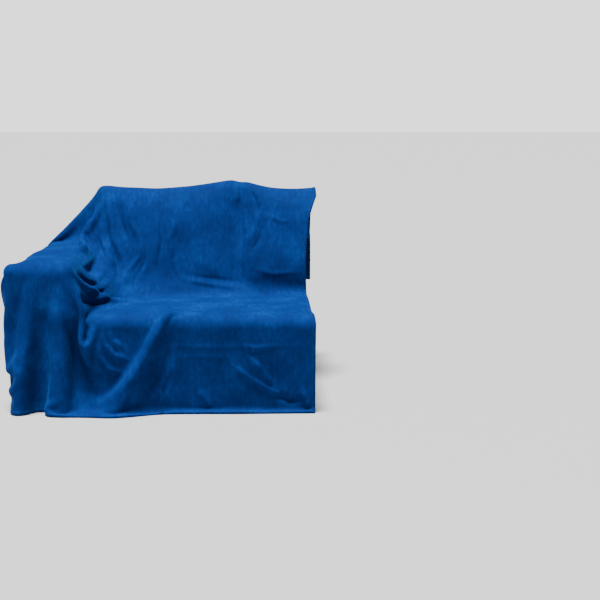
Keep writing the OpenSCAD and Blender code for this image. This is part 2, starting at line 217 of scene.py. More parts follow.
# the slope from the seat up to the armrest starts here, and takes this much spare width
U_SLOPE, SLOPE_X, SLOPE_SPARE = 0.855, -0.36, 0.145
U_WALL = RIGHT_X - WALL_X
U_ARM = U_WALL + SLOPE_SPARE
U_SIDE = U_ARM + WALL_X - SIDE_X
# beside the back cushion's top the cloth is stretched straight: its width, x at its left end, how
# high it bulges, and the two ramps along v between which it lies
TENT_W, TENT_X, TENT_RISE = 0.33, -0.672, 0.04
TENT_FROM, TENT_TO = (1.08, 0.16), (1.62, -0.10)
# length from the front edge up to the seat, and what the armrest adds to it
SEAT_FALL, ARM_FALL = 0.40, 0.21
# v of the armrest's front left corner, and how far the corner's flap stands out, front and rear
CORNER_V = 0.615
FLAP_OUT, FLAP_REAR_SHARE = 0.20, 0.25
# how much the side drop leans out
SIDE_LEAN = 0.05
SEAT_LINE = [(-0.35, -0.39), (-0.28, -0.03), (-0.25, 0.008), (0.24, 0.008), (0.345, 0.25),
             (0.50, 0.475), (0.60, 0.455), (0.71, 0.225), (0.898, 0.225), (0.898, -0.6)]
ARM_LINE = [(-0.345, -0.37), (-0.285, -0.03), (-0.28, 0.20), (-0.25, 0.225), (0.898, 0.225),
            (0.898, -0.6)]
# where the front edge is laid on the floor: u, and x there
FRONT_U = [0, 0.50, 0.93, 1.03, 1.15, 1.25, 1.36, 1.44, 1.8]
FRONT_X = [0.495, -0.005, -0.375, -0.455, -0.542, -0.635, -0.712, -0.75, -0.75]
# how far the front edge stands out: u, and the distance
WAVE_U = [0.50, 0.75, 0.93, 1.03, 1.15, 1.25, 1.36, 1.44]
WAVE_OUT = [0.0, 0.03, 0.11, 0.0, 0.11, 0.0, 0.07, 0.0]


def along(corners, s):
    """Points at distance s along a line of (y, z) corners."""
    c = np.array(corners, float)
    t = travelled(c)
    return np.stack([np.interp(s, t, c[:, 0]), np.interp(s, t, c[:, 1])], axis=-1)


def flat_grid(nu, nv):
    u, v = np.meshgrid(np.linspace(0, FLAT_W, nu), np.linspace(0, FLAT_L, nv), indexing="ij")
    return u, v


def laid_on(nu, nv):
    u, v = flat_grid(nu, nv)
    slack = SLACK * ramped(u, SLACK_U, SLACK_U)
    seat = along(SEAT_LINE, np.maximum(v - slack, 0))
    seat[..., 0] -= np.maximum(slack - v, 0)
    arm = along(ARM_LINE, v)
    # from the seat up to the armrest it lies on a slope
    share = smooth((u - U_SLOPE) / (U_ARM - U_SLOPE))
    x = np.interp(u, [0, U_SLOPE, U_ARM, U_SIDE, FLAT_W],
                  [RIGHT_X, SLOPE_X, WALL_X, SIDE_X - REST, SIDE_X - REST])
    tent = ramped(v, *TENT_FROM) * ramped(v, *TENT_TO)
    across = np.clip((u - U_WALL) / TENT_W, 0, 1)
    share = share * (1 - tent) + across * tent
    x = x * (1 - tent) + np.interp(u, [0, U_WALL, U_WALL + TENT_W, U_SIDE, FLAT_W],
                                   [RIGHT_X, WALL_X, TENT_X, SIDE_X - REST, SIDE_X - REST]) * tent
    yz = seat * (1 - share[..., None]) + arm * share[..., None]
    yz[..., 1] += TENT_RISE * tent * np.sin(np.pi * across)
    p = np.concatenate([x[..., None], yz], axis=-1)
    # the front drop fans out to its place on the floor
    fall = SEAT_FALL + ARM_FALL * share
    low = smooth((fall - v) / fall)
    p[..., 0] = x * (1 - low) + np.interp(u, FRONT_U, FRONT_X) * low
    p[..., 1] -= low * np.interp(u, WAVE_U, WAVE_OUT)
    # the side drop, with its two corners folded back along the side
    du = np.maximum(u - U_SIDE, 0)
    rear_v = CORNER_V + REAR_Y - FRONT_Y
    for corner_v, sign, y in ((CORNER_V, -1, FRONT_Y - REST), (rear_v, 1, REAR_Y + REST)):
        dv = np.maximum(sign * (v - corner_v), 0)
        m = (du > 0) & (dv > 0)
        reach = np.hypot(du, dv)
        angle = np.arctan2(du, dv)
        fold = np.minimum(angle, np.pi / 2 - angle)
        out = FLAP_OUT * np.where(angle < np.pi / 4, 1.0, FLAP_REAR_SHARE)
        stand = out * np.sin(2 * fold) * reach
        folded = np.stack([SIDE_X - REST - stand, y - sign * reach * np.sin(fold),
                           ARM_Z - reach * np.cos(fold)], axis=-1)
        p[m] = folded[m]
    m = (du > 0) & (v >= CORNER_V) & (v <= rear_v)
    p[..., 2] = np.where(m, ARM_Z - du, p[..., 2])
    p[..., 0] = np.where(m, SIDE_X - REST - SIDE_LEAN * du, p[..., 0])
    p[..., 2] = np.maximum(p[..., 2], FLOOR_Z + REST)
    return p


# === Cloth that settles on the support ===
# Its threads don't stretch, it is a little stiff against shear and bending, it has friction, and
# it doesn't pass through itself.
GRAVITY = 9.81
LEFT_LIMIT, FRONT_LIMIT, REAR_LIMIT = -0.792, -0.40, 0.935
# below this height the limit on the left leans in
LEAN_FROM_Z, LEFT_LEAN = -0.04, 0.125
TOP_SPEED = 3.0
TIME_STEP = 0.001
FRICTION = 0.5
# the hand's pressure falls off over this distance from the support
PRESS_REACH = 0.04
# it doesn't press the cloth that hangs free behind the armrest's inner edge
FREE_V, FREE_U = (1.10, 0.15), (0.85, 0.1)
# the inlet's place on the rear drop, which the housing's flange keeps flat
HELD_HALF_W, HELD_L = 0.056, 0.075
# pairs that may touch are sought once in so many steps, and this many points apart or more
SEEK_EVERY, NEAR_POINTS = 8, 3


def close_pairs(q, columns, radius, skip):
    """Pairs of points nearer than radius that aren't near neighbours in the cloth."""
    cell = np.floor(q / radius).astype(np.int64)
    cell -= cell.min(0)
    size = cell.max(0) + 3
    key = (cell[:, 0] * size[1] + cell[:, 1]) * size[2] + cell[:, 2]
    order = np.argsort(key, kind="stable")
    ordered = key[order]
    near_cells = [(x, y, z) for x in (0, 1) for y in (-1, 0, 1) for z in (-1, 0, 1)
                  if (x, y, z) >= (0, 0, 0)]
    firsts, seconds = [], []
    for x, y, z in near_cells:
        other = key + (x * size[1] + y) * size[2] + z
        low = np.searchsorted(ordered, other, "left")
        count = np.searchsorted(ordered, other, "right") - low
        i = np.repeat(np.arange(len(q)), count)
        step = np.arange(count.sum()) - np.repeat(np.cumsum(count) - count, count)
        j = order[np.repeat(low, count) + step]
        rows_apart = np.abs(i // columns - j // columns)
        m = (rows_apart > skip) | (np.abs(i % columns - j % columns) > skip)
        if (x, y, z) == (0, 0, 0):
            m &= i < j
        i, j = i[m], j[m]
        m = ((q[i] - q[j]) ** 2).sum(1) < radius * radius
        firsts.append(i[m])
        seconds.append(j[m])
    return np.concatenate(firsts), np.concatenate(seconds)


class Cloth:
    def __init__(self, p, gap):
        self.p = p.copy()
        self.speed = np.zeros_like(p)
        nu, nv = p.shape[:2]
        self.du, self.dv = FLAT_W / (nu - 1), FLAT_L / (nv - 1)
        u, v = flat_grid(nu, nv)
        self.pressed = (1 - ramped(v, *FREE_V) * ramped(u, *FREE_U)).reshape(-1)
        self.held = (np.abs(u - INLET_U) < HELD_HALF_W) & (v > FLAT_L - HELD_L)
        self.held_at = np.stack([RIGHT_X - u, np.full_like(u, INLET_Y), REAR_END_Z + FLAT_L - v],
                                axis=-1)[self.held]
        self.gap = gap
        self.near = None
        self.pairs = None

    def keep_length(self, a, b, length, k):
        d = a - b
        now = np.sqrt((d * d).sum(-1, keepdims=True)) + 1e-12
        c = (0.5 * k) * (1 - length / now) * d
        a -= c
        b += c

    def unbend(self, a, b, c, k):
        e = (a + c - 2 * b) * (k / 4)
        a -= e
        c -= e
        b += 2 * e

    def step(self, count, press, k_shear, k_bend, damping):
        p, speed, dt = self.p, self.speed, TIME_STEP
        speed[..., 2] -= GRAVITY * dt
        if self.near is not None:
            distance, way = self.near
            close = np.exp(-np.maximum(distance - REST, 0) / PRESS_REACH)
            pull = press * dt * self.pressed * close
            speed -= (way * pull[:, None]).reshape(p.shape)
        old = p.copy()
        p += speed * dt
        diagonal = math.hypot(self.du, self.dv)
        turned = p.transpose(1, 0, 2)
        for s in (0, 1):
            for q, length in ((p, self.du), (turned, self.dv)):
                n = (len(q) - s) // 2 * 2
                self.keep_length(q[s:s + n:2], q[s + 1:s + n:2], length, 1.0)
        for s in (0, 1):
            n = (p.shape[0] - s) // 2 * 2
            self.keep_length(p[s:s + n:2, :-1], p[s + 1:s + n:2, 1:], diagonal, k_shear)
            self.keep_length(p[s:s + n:2, 1:], p[s + 1:s + n:2, :-1], diagonal, k_shear)
        for s in (0, 1, 2):
            for q in (p, turned):
                n = (len(q) - s) // 3 * 3
                self.unbend(q[s:s + n:3], q[s + 1:s + n:3], q[s + 2:s + n:3], k_bend)
        flat = p.reshape(-1, 3)
        if count % SEEK_EVERY == 0:
            self.pairs = close_pairs(flat, p.shape[1], self.gap * 1.5, NEAR_POINTS)
        self.part(flat)
        distance, way = support(flat)
        self.near = distance, way
        deep = np.flatnonzero(distance < REST)
        push = REST - distance[deep]
        out = way[deep]
        flat[deep] += out * push[:, None]
        slide = flat[deep] - old.reshape(-1, 3)[deep]
        slide -= out * (slide * out).sum(1, keepdims=True)
        length = np.linalg.norm(slide, axis=1) + 1e-12
        flat[deep] -= slide * np.minimum(1.0, FRICTION * push / length)[:, None]
        limit = LEFT_LIMIT + LEFT_LEAN * np.maximum(LEAN_FROM_Z - flat[:, 2], 0)
        np.maximum(flat[:, 0], limit, out=flat[:, 0])
        np.clip(flat[:, 1], FRONT_LIMIT, REAR_LIMIT, out=flat[:, 1])
        p[self.held] = self.held_at
        speed[...] = (p - old) * ((1 - damping * dt) / dt)
        fast = np.sqrt((speed * speed).sum(-1, keepdims=True))
        speed *= np.minimum(1.0, TOP_SPEED / (fast + 1e-9))

    def part(self, flat):
        """Moves apart the points of two layers that are nearer than the gap."""
        i, j = self.pairs
        e = flat[i] - flat[j]
        length = np.sqrt((e * e).sum(1)) + 1e-9
        m = length < self.gap
        i, j = i[m], j[m]
        c = e[m] * (0.25 * (self.gap - length[m]) / length[m])[:, None]
        for k in range(3):
            flat[:, k] += np.bincount(i, c[:, k], len(flat)) - np.bincount(j, c[:, k], len(flat))


def resampled(p, nu, nv):
    """The same surface on another grid, by cubic curves along each direction."""
    def one_way(a, n):
        m = a.shape[0]
        t = np.linspace(0, m - 1, n)
        i = np.clip(t.astype(int), 0, m - 2)
        f = (t - i)[:, None, None]
        p1, p2 = a[i], a[i + 1]
        p0 = np.where((i == 0)[:, None, None], 2 * p1 - p2, a[np.clip(i - 1, 0, m - 1)])
        p3 = np.where((i == m - 2)[:, None, None], 2 * p2 - p1, a[np.clip(i + 2, 0, m - 1)])
        return 0.5 * (2 * p1 + (p2 - p0) * f + (2 * p0 - 5 * p1 + 4 * p2 - p3) * f ** 2
                      + (3 * p1 - p0 - 3 * p2 + p3) * f ** 3)
    return one_way(one_way(p, nu).transpose(1, 0, 2), nv).transpose(1, 0, 2)


# points along u and v while it settles, first and last, and in the pieces
COARSE, FINE, MESH = (91, 111), (181, 221), (301, 367)
# the least distance between two layers, in each
COARSE_GAP, FINE_GAP = 0.016, 0.013
COARSE_STEPS, PRESSED_STEPS, CALM_STEPS = 600, 500, 200
FINE_STEPS, QUICK_STEPS = 200, 60


def settled():
    cloth = Cloth(laid_on(*COARSE), COARSE_GAP)
    for i in range(COARSE_STEPS):
        press = 40.0 if i < PRESSED_STEPS else 6.0
        damping = 8.0 if i < CALM_STEPS else 3.0
        cloth.step(i, press, k_shear=0.25, k_bend=0.02, damping=damping)
    cloth = Cloth(resampled(cloth.p, *FINE), FINE_GAP)
    for i in range(FINE_STEPS):
        cloth.step(i, press=8.0, k_shear=0.2, k_bend=0.06, damping=4.0)
    return cloth.p


# === From the flat blanket to the draped one ===
def normals(p):
    return unit(np.cross(np.gradient(p, axis=1), np.gradient(p, axis=0)))


# Creases that the photograph shows, each a line of points with a width and a height, all in
# millimetres. Those of the front drop and of the cushions are (x, z), the others (u, v).
FRONT_CREASES = [
    ([(-130, -4), (-146, -36), (-192, -152), (-253, -252), (-327, -332), (-405, -364)], 15, 12),
    ([(-85, -60), (-100, -160), (-150, -270), (-215, -350)], 20, -13.5),
    ([(-97, -236), (-112, -290), (-130, -336)], 9, -9),
    ([(-372, -52), (-360, -112), (-323, -156), (-270, -176)], 10, 10.5),
    ([(-343, -52), (-327, -96), (-290, -124)], 9, 8),
    ([(-395, -90), (-385, -160), (-345, -215), (-285, -235)], 11, 9),
    ([(-442, 4), (-440, -20)], 12, -8),
    ([(219, -64), (231, -160), (268, -212)], 9, 9),
    ([(170, -200), (252, -264), (392, -344)], 9, 10.5),
    ([(252, -172), (309, -252), (335, -290)], 9, 8.5),
    ([(200, -110), (255, -130), (330, -120)], 9, 4.8),
    ([(342, -320), (400, -352), (450, -345)], 13, -15),
    ([(452, -300), (470, -350), (485, -385)], 12, 10.5),
    ([(-150, -118), (150, -124), (470, -116)], 9, 1.6),
    ([(-60, -160), (180, -168)], 9, 1.4),
    ([(20, -300), (60, -350), (75, -390)], 14, 6),
    ([(-583, 150), (-608, 20), (-630, -180), (-641, -350)], 26, -11),
    ([(-720, 80), (-705, -80), (-690, -300)], 24, 6),
    ([(-735, 160), (-690, 105), (-705, 20)], 14, -5),
]
CUSHION_CREASES = [
    ([(-214, 377), (-205, 277), (-214, 155)], 9, 10.7),
    ([(-190, 340), (-183, 250), (-193, 180)], 9, -9.2),
    ([(-126, 323), (-149, 255), (-136, 155)], 9, 10.7),
    ([(-278, 241), (-288, 173), (-347, 95)], 9, 8.5),
    ([(-255, 200), (-262, 150), (-300, 80)], 9, -6),
    ([(192, 368), (205, 255), (187, 95)], 9, 11.9),
    ([(270, 390), (247, 323), (215, 232)], 9, 10.7),
    ([(285, 330), (262, 262), (225, 190)], 9, -10.7),
    ([(300, 355), (360, 330), (395, 335)], 9, 4),
    ([(162, 505), (150, 455), (155, 400)], 13, 11.2),
    ([(215, 470), (240, 420), (250, 370)], 9, -7.5),
    ([(-85, 74), (50, 52), (192, 28)], 9, 5),
    ([(-60, 94), (60, 78), (200, 55)], 9, -3),
    ([(230, 120), (330, 100), (450, 110)], 10, 3),
    ([(-440, 440), (-425, 340), (-400, 240), (-350, 140)], 13, 11.2),
    ([(-395, 430), (-375, 330), (-340, 240)], 13, -9.4),
    ([(-345, 400), (-330, 330), (-290, 250)], 9, 7.5),
]
FLAT_CREASES = [
    ([(625, 395), (600, 440), (555, 465)], 9, 8.8),
    ([(600, 390), (575, 425), (530, 440)], 9, -7.4),
    ([(480, 400), (440, 460), (430, 520)], 9, 5.2),
    ([(700, 520), (600, 600), (520, 720)], 14, 5.2),
    ([(350, 560), (260, 640), (230, 740)], 13, 5.2),
    ([(300, 1620), (340, 1800), (310, 1960)], 16, 6.5),
    ([(700, 1600), (680, 1780), (730, 1980)], 18, 7.8),
    ([(560, 2000), (540, 2100), (560, 2190)], 16, 7.8),
    ([(900, 1980), (930, 2080), (910, 2190)], 18, 9.1),
    ([(1280, 700), (1340, 860), (1300, 1060)], 18, 5.2),
    ([(1420, 900), (1380, 1100), (1410, 1300)], 16, 5.2),
]
# Nested swags that hang from the armrest's inner end, as (x, z) where a viewer at EYE sees them
# against the plane of the front drop
SWAGS = [
    ([(-430, 205), (-405, 190), (-385, 195)], 12, -6),
    ([(-458, 188), (-430, 156), (-389, 148), (-364, 176), (-360, 228)], 8, 5),
    ([(-446, 156), (-409, 138), (-376, 148), (-348, 180)], 8, -5),
    ([(-471, 176), (-450, 140), (-417, 120), (-376, 120), (-335, 148), (-323, 176)], 8, 5.5),
    ([(-450, 128), (-426, 100), (-389, 96), (-348, 116)], 9, -5.5),
    ([(-479, 148), (-458, 100), (-426, 80), (-385, 76), (-344, 88), (-307, 116)], 8, 5.5),
    ([(-471, 96), (-446, 68), (-405, 56), (-364, 58), (-335, 72)], 10, -6),
    ([(-410, 420), (-414, 356), (-396, 316), (-376, 268), (-360, 240)], 9, 7),
    ([(-393, 420), (-393, 348), (-372, 300), (-345, 250)], 10, -7),
    ([(-366, 400), (-364, 330), (-336, 250), (-311, 180)], 10, 6),
    ([(-335, 390), (-331, 316), (-307, 230), (-290, 150)], 10, -6),
]
# where the photo was taken from
EYE = (0.445, -5.334, 0.902)
# half the width and the length round the inlet that have no creases
FLAT_HALF_W, FLAT_ROUND_L = 0.07, 0.09
# how far the right edge strays from straight, fading over EDGE_REACH: v, and the distance
EDGE_REACH = 0.30
EDGE_V = [0, 0.2, 0.38, 0.50, 0.9, 1.1, 1.28, 1.40, 1.48, 1.62, 1.8, 2.2]
EDGE_OUT = [0, 0.006, 0.012, -0.004, -0.004, -0.006, 0.004, 0.034, 0.026, 0.006, 0, 0]


def crease(a, b, line, width, height):
    """Height of a soft crease along a line, fading at both ends."""
    line = np.array(line) * MM
    starts = travelled(line)
    near = np.full(a.shape, 1e9)
    where = np.zeros(a.shape)
    for p, q, length, start in zip(line[:-1], line[1:], np.diff(starts), starts):
        way = (q - p) / length
        t = np.clip((a - p[0]) * way[0] + (b - p[1]) * way[1], 0, length)
        d = np.hypot(a - p[0] - t * way[0], b - p[1] - t * way[1])
        closer = d < near
        near = np.where(closer, d, near)
        where = np.where(closer, start + t, where)
    share = where / starts[-1]
    fade = smooth(share / 0.3) * smooth((1 - share) / 0.3)
    return height * MM * np.exp(-(near / (width * MM)) ** 2) * (0.25 + 0.75 * fade)


def sculpted(p):
    """The settled cloth with its small creases and its wandering right edge."""
    u, v = flat_grid(*p.shape[:2])
    x, y, z = p[..., 0], p[..., 1], p[..., 2]
    rise = np.zeros_like(x)
    # where on the flat blanket each group lies
    front = ramped(v, 0.44, -0.04)
    cushion = ramped(v, 0.88, 0.04) * ramped(v, 1.46, -0.04) * ramped(u, 1.02, -0.05)
    inner = ramped(v, 0.42, 0.08) * ramped(v, 1.50, -0.10) * ramped(u, 0.74, 0.08)
    nearness = (FRONT_Y - EYE[1]) / (y - EYE[1])
    seen_x, seen_z = EYE[0] + (x - EYE[0]) * nearness, EYE[2] + (z - EYE[2]) * nearness
    for creases, a, b, share in ((FRONT_CREASES, x, z, front), (CUSHION_CREASES, x, z, cushion),
                                 (FLAT_CREASES, u, v, 1.0), (SWAGS, seen_x, seen_z, inner)):
        for line, width, height in creases:
            rise += share * crease(a, b, line, width, height)
    # the slight unevenness of cloth smoothed by hand
    chance = np.random.default_rng(11)
    for cells, high in (((14, 17), 2.0), ((40, 49), 0.55)):
        bumps = resampled(chance.standard_normal((*cells, 1)), *p.shape[:2])[..., 0]
        rise += bumps * high * MM
    # it stays flat round the inlet
    inlet = np.maximum(np.abs(u - INLET_U) / FLAT_HALF_W, (FLAT_L - v) / FLAT_ROUND_L)
    rise *= ramped(inlet, 1.0, 0.6)
    p = p + normals(p) * rise[..., None]
    p[..., 0] += np.interp(v, EDGE_V, EDGE_OUT) * (1 - smooth(u / EDGE_REACH))
    return p


def eased(p, tightest, rounds):
    """Opens the bends that are tighter than the blanket's thickness allows."""
    p = p.copy()
    du, dv = FLAT_W / (p.shape[0] - 1), FLAT_L / (p.shape[1] - 1)
    for _ in range(rounds):
        bend_u = (p[2:, 1:-1] + p[:-2, 1:-1]) / 2 - p[1:-1, 1:-1]
        bend_v = (p[1:-1, 2:] + p[1:-1, :-2]) / 2 - p[1:-1, 1:-1]
        for bend, step in ((bend_u, du), (bend_v, dv)):
            sharp = 2 * np.linalg.norm(bend, axis=-1) / step ** 2 * tightest
            # it starts a little under the limit, and opens by 0.4 of the bend at most
            p[1:-1, 1:-1] += bend * (0.4 * ramped(sharp, 0.7, 0.5))[..., None]
    return p


# the least radius of a bend, and the rounds that open the tighter ones, before the creases
# are added and after
LOOSE, CREASED = (14 * MM, 30), (9 * MM, 26)
DRAPED = eased(sculpted(eased(resampled(settled(), *MESH), *LOOSE)), *CREASED)
OUTWARD = normals(DRAPED)


def place(u, v, h):
    """Row-frame points of flat points; past an edge the cloth goes on straight."""
    nu, nv = DRAPED.shape[:2]
    a = np.asarray(u) / FLAT_W * (nu - 1)
    b = np.asarray(v) / FLAT_L * (nv - 1)
    i = np.clip(np.floor(a).astype(int), 0, nu - 2)
    j = np.clip(np.floor(b).astype(int), 0, nv - 2)
    a = (a - i)[..., None]
    b = (b - j)[..., None]

    def mixed(g):
        return ((g[i, j] * (1 - a) + g[i + 1, j] * a) * (1 - b)
                + (g[i, j + 1] * (1 - a) + g[i + 1, j + 1] * a) * b)
    return mixed(DRAPED) + unit(mixed(OUTWARD)) * np.asarray(h)[..., None]


# === Meshes ===
def linked(name, data):
    """A new object in the scene."""
    obj = bpy.data.objects.new(name, data)
    bpy.context.collection.objects.link(obj)
    return obj


def mesh_object(name, points, faces, flat=None):
    mesh = bpy.data.meshes.new(name)
    mesh.from_pydata(points.reshape(-1, 3).tolist(), [], faces)
    mesh.polygons.foreach_set("use_smooth", np.ones(len(faces), bool))
    if flat is not None:
        layer = mesh.uv_layers.new(name="flat")
        loops = np.zeros(len(mesh.loops), np.int32)
        mesh.loops.foreach_get("vertex_index", loops)
        layer.data.foreach_set("uv", flat.reshape(-1, 2)[loops].astype(np.float32).ravel())
    mesh.update()
    return linked(name, mesh)


def skin(at):
    """Quads between neighbouring rings of vertex numbers; at is (..., rings, points)."""
    after = np.roll(at, -1, axis=-1)
    quads = [at[..., :-1, :], after[..., :-1, :], after[..., 1:, :], at[..., 1:, :]]
    return np.stack(quads, -1).reshape(-1, 4)


def slab(name, us, vs, keep, low, high):
    """A closed layer between heights low and high over the kept cells of a flat grid."""
    u, v = np.meshgrid(us, vs, indexing="ij")
    nu, nv = u.shape
    points = np.stack([place(u, v, np.broadcast_to(high, u.shape)),
                       place(u, v, np.broadcast_to(low, u.shape))])
    flat = np.stack([np.stack([u, v], -1)] * 2)
    at = np.arange(2 * nu * nv).reshape(2, nu, nv)
    i, j = np.nonzero(keep)
    top, bottom = at
    quads = [np.stack([top[i, j], top[i, j + 1], top[i + 1, j + 1], top[i + 1, j]], -1),
             np.stack([bottom[i, j], bottom[i + 1, j], bottom[i + 1, j + 1], bottom[i, j + 1]], -1)]
    padded = np.pad(keep, 1)
    # each side of a kept cell that has no kept neighbour gets a wall
    for di, dj, a, b in ((-1, 0, (0, 0), (0, 1)), (1, 0, (1, 1), (1, 0)),
                         (0, -1, (1, 0), (0, 0)), (0, 1, (0, 1), (1, 1))):
        m = ~padded[i + 1 + di, j + 1 + dj]
        ia, ja, ib, jb = i[m] + a[0], j[m] + a[1], i[m] + b[0], j[m] + b[1]
        quads.append(np.stack([top[ib, jb], top[ia, ja], bottom[ia, ja], bottom[ib, jb]], -1))
    quads = np.concatenate(quads)
    used, again = np.unique(quads, return_inverse=True)
    return mesh_object(name, points.reshape(-1, 3)[used], again.reshape(quads.shape).tolist(),
                       flat.reshape(-1, 2)[used])


def swept(name, loop, place_flat, stations, flip):
    """A closed section, as (distance from the edge, height) pairs, swept along an edge.
    The section is an outer line followed back by an inner one of as many points."""
    s = np.array([q[0] for q in loop])[None, :] * np.ones((len(stations), 1))
    h = np.array([q[1] for q in loop])[None, :] * np.ones((len(stations), 1))
    u, v = place_flat(np.array(stations)[:, None] * np.ones((1, len(loop))), s)
    points = place(u, v, h)
    k = u.shape[1]
    at = np.arange(u.size).reshape(u.shape)
    caps = []
    for row, turn in ((at[0], 1), (at[-1], -1)):
        for m in range(k // 2 - 1):
            caps.append([row[m], row[k - 1 - m], row[k - 2 - m], row[m + 1]][::turn])
    faces = np.concatenate([skin(at), np.array(caps)])
    if flip:
        faces = faces[:, ::-1]
    return mesh_object(name, points, faces.tolist(), np.stack([u, v], -1))


def tubes(name, lines, radius, sides=6):
    """Round tubes along lines of flat points (u, v, h); lines is (tubes, points, 3)."""
    lines = np.asarray(lines, float)
    radius = np.broadcast_to(radius, lines.shape[:2])
    u, v, h = np.moveaxis(lines, -1, 0)
    centre = place(u, v, h)
    ahead = unit(np.gradient(centre, axis=1))
    side = unit(np.cross(ahead, place(u, v, np.ones_like(u)) - place(u, v, np.zeros_like(u))))
    up = np.cross(side, ahead)
    turn = np.arange(sides) * 2 * np.pi / sides
    ring = (np.cos(turn)[:, None] * side[..., None, :] + np.sin(turn)[:, None] * up[..., None, :])
    points = centre[..., None, :] + radius[..., None, None] * ring
    m, k = lines.shape[:2]
    at = np.arange(m * k * sides).reshape(m, k, sides)
    faces = skin(at)[:, ::-1].tolist() + at[:, 0].tolist() + at[:, -1, ::-1].tolist()
    return mesh_object(name, points, faces)


def walked(corners, spacing, round_r=0.0):
    """Points every so often along a flat line of (u, v) corners, its corners rounded."""
    line = [np.array(corners[0], float)]
    for a, b, c in zip(corners, corners[1:], corners[2:]):
        a, b, c = (np.array(q, float) for q in (a, b, c))
        r = min(round_r, np.linalg.norm(a - b) / 2, np.linalg.norm(c - b) / 2)
        start = b + unit(a - b) * r
        end = b + unit(c - b) * r
        for t in np.linspace(0, 1, 9 if r else 1):
            line.append((1 - t) ** 2 * start + 2 * t * (1 - t) * b + t * t * end)
    line.append(np.array(corners[-1], float))
    line = np.array(line)
    s = travelled(line)
    at = np.linspace(0, s[-1], max(2, int(round(s[-1] / spacing)) + 1))
    return np.stack([np.interp(at, s, line[:, 0]), np.interp(at, s, line[:, 1])], -1)


# a stitch as (share of its length, rise in millimetres), and its thickness at each point
STITCH_SHAPE = [(0.0, -0.45), (0.12, 0.0), (0.5, 0.15), (0.88, 0.0), (1.0, -0.45)]
STITCH_THICK = np.array([[0.6, 1.0, 1.0, 1.0, 0.6]])
# pitch, length and thread radius of the hem's stitches and of the small ones
HEM_STITCH = (5.0 * MM, 3.6 * MM, 0.38 * MM)
SMALL_STITCH = (3.0 * MM, 2.2 * MM, 0.3 * MM)


def stitch_rows(name, rows, height, size):
    """Rows of stitches along flat lines, each stitch a short thread sunk at its ends."""
    pitch, length, radius = size
    stitches = []
    for row in rows:
        points = walked(row, pitch)
        for a, b in zip(points[:-1], points[1:]):
            way = (b - a) * (length / pitch)
            stitches.append([[*(a + way * t), height + rise * MM] for t, rise in STITCH_SHAPE])
    return tubes(name, stitches, STITCH_THICK * radius)


# === Materials ===
def new_material(name, roughness, specular=0.3):
    material = bpy.data.materials.new(name)
    material.use_nodes = True
    shader = material.node_tree.nodes["Principled BSDF"]
    shader.inputs["Roughness"].default_value = roughness
    shader.inputs["Specular IOR Level"].default_value = specular
    return material, material.node_tree, shader


def add(tree, kind, **values):
    node = tree.nodes.new(kind)
    for key, value in values.items():
        if key in node.inputs:
            node.inputs[key].default_value = value
        else:
            setattr(node, key, value)
    return node


def coordinates(tree, flat):
    if flat:
        return add(tree, "ShaderNodeUVMap", uv_map="flat").outputs["UV"]
    return add(tree, "ShaderNodeTexCoord").outputs["Object"]


def noise(tree, where, scale, detail=2.0, roughness=0.5, stretch=None):
    if stretch:
        mapping = add(tree, "ShaderNodeMapping")
        mapping.inputs["Scale"].default_value = stretch
        tree.links.new(where, mapping.inputs["Vector"])
        where = mapping.outputs["Vector"]
    node = add(tree, "ShaderNodeTexNoise", Scale=scale, Detail=detail, Roughness=roughness)
    tree.links.new(where, node.inputs["Vector"])
    return node.outputs["Fac"]


def math_node(tree, operation, a, b):
    node = add(tree, "ShaderNodeMath", operation=operation)
    for k, value in enumerate((a, b)):
        if isinstance(value, (int, float)):
            node.inputs[k].default_value = value
        else:
            tree.links.new(value, node.inputs[k])
    return node.outputs[0]


def ramp(tree, factor, stops):
    node = add(tree, "ShaderNodeValToRGB")
    elements = node.color_ramp.elements
    while len(elements) < len(stops):
        elements.new(0.5)
    for element, (position, colour) in zip(elements, stops):
        element.position = position
        element.color = (*colour, 1.0)
    tree.links.new(factor, node.inputs["Fac"])
    return node.outputs["Color"]


def bump(tree, shader, height, distance, strength=1.0, after=None):
    node = add(tree, "ShaderNodeBump", Strength=strength, Distance=distance)
    tree.links.new(height, node.inputs["Height"])
    if after:
        tree.links.new(after.outputs["Normal"], node.inputs["Normal"])
    tree.links.new(node.outputs["Normal"], shader.inputs["Normal"])
    return node


def tinted(tree, shader, factor, colour, shade, low, high):
    """The base colour runs from a shade of the colour up to the colour itself."""
    dark = tuple(c * shade for c in colour)
    tree.links.new(ramp(tree, factor, [(low, dark), (high, colour)]), shader.inputs["Base Color"])


def roughened(tree, shader, factor, least, most):
    stops = [(0.3, (least,) * 3), (0.7, (most,) * 3)]
    tree.links.new(ramp(tree, factor, stops), shader.inputs["Roughness"])


def plush(name, dark, middle, light, sheen):
    """Short-pile fleece: brushed patches, crushed streaks, and a fine nap."""
    material, tree, shader = new_material(name, 0.85, 0.06)
    where = coordinates(tree, True)
    brushed = noise(tree, where, 7.0, 3.0, 0.55)
    crushed = noise(tree, where, 70.0, 4.0, 0.65, stretch=(1.0, 0.4, 1.0))
    nap = noise(tree, where, 420.0, 2.0, 0.6)
    mixed = math_node(tree, "MULTIPLY", brushed, 0.25)
    for layer, share in ((crushed, 0.20), (nap, 0.12)):
        mixed = math_node(tree, "ADD", mixed, math_node(tree, "MULTIPLY", layer, share))
    colour = ramp(tree, mixed, [(0.18, dark), (0.295, middle), (0.41, light)])
    tree.links.new(colour, shader.inputs["Base Color"])
    shader.inputs["Sheen Weight"].default_value = sheen
    shader.inputs["Sheen Roughness"].default_value = 0.35
    shader.inputs["Sheen Tint"].default_value = (0.0, 0.36, 1.0, 1.0)
    first = bump(tree, shader, crushed, 1.0 * MM, 0.6)
    bump(tree, shader, nap, 0.5 * MM, 0.7, after=first)
    return material


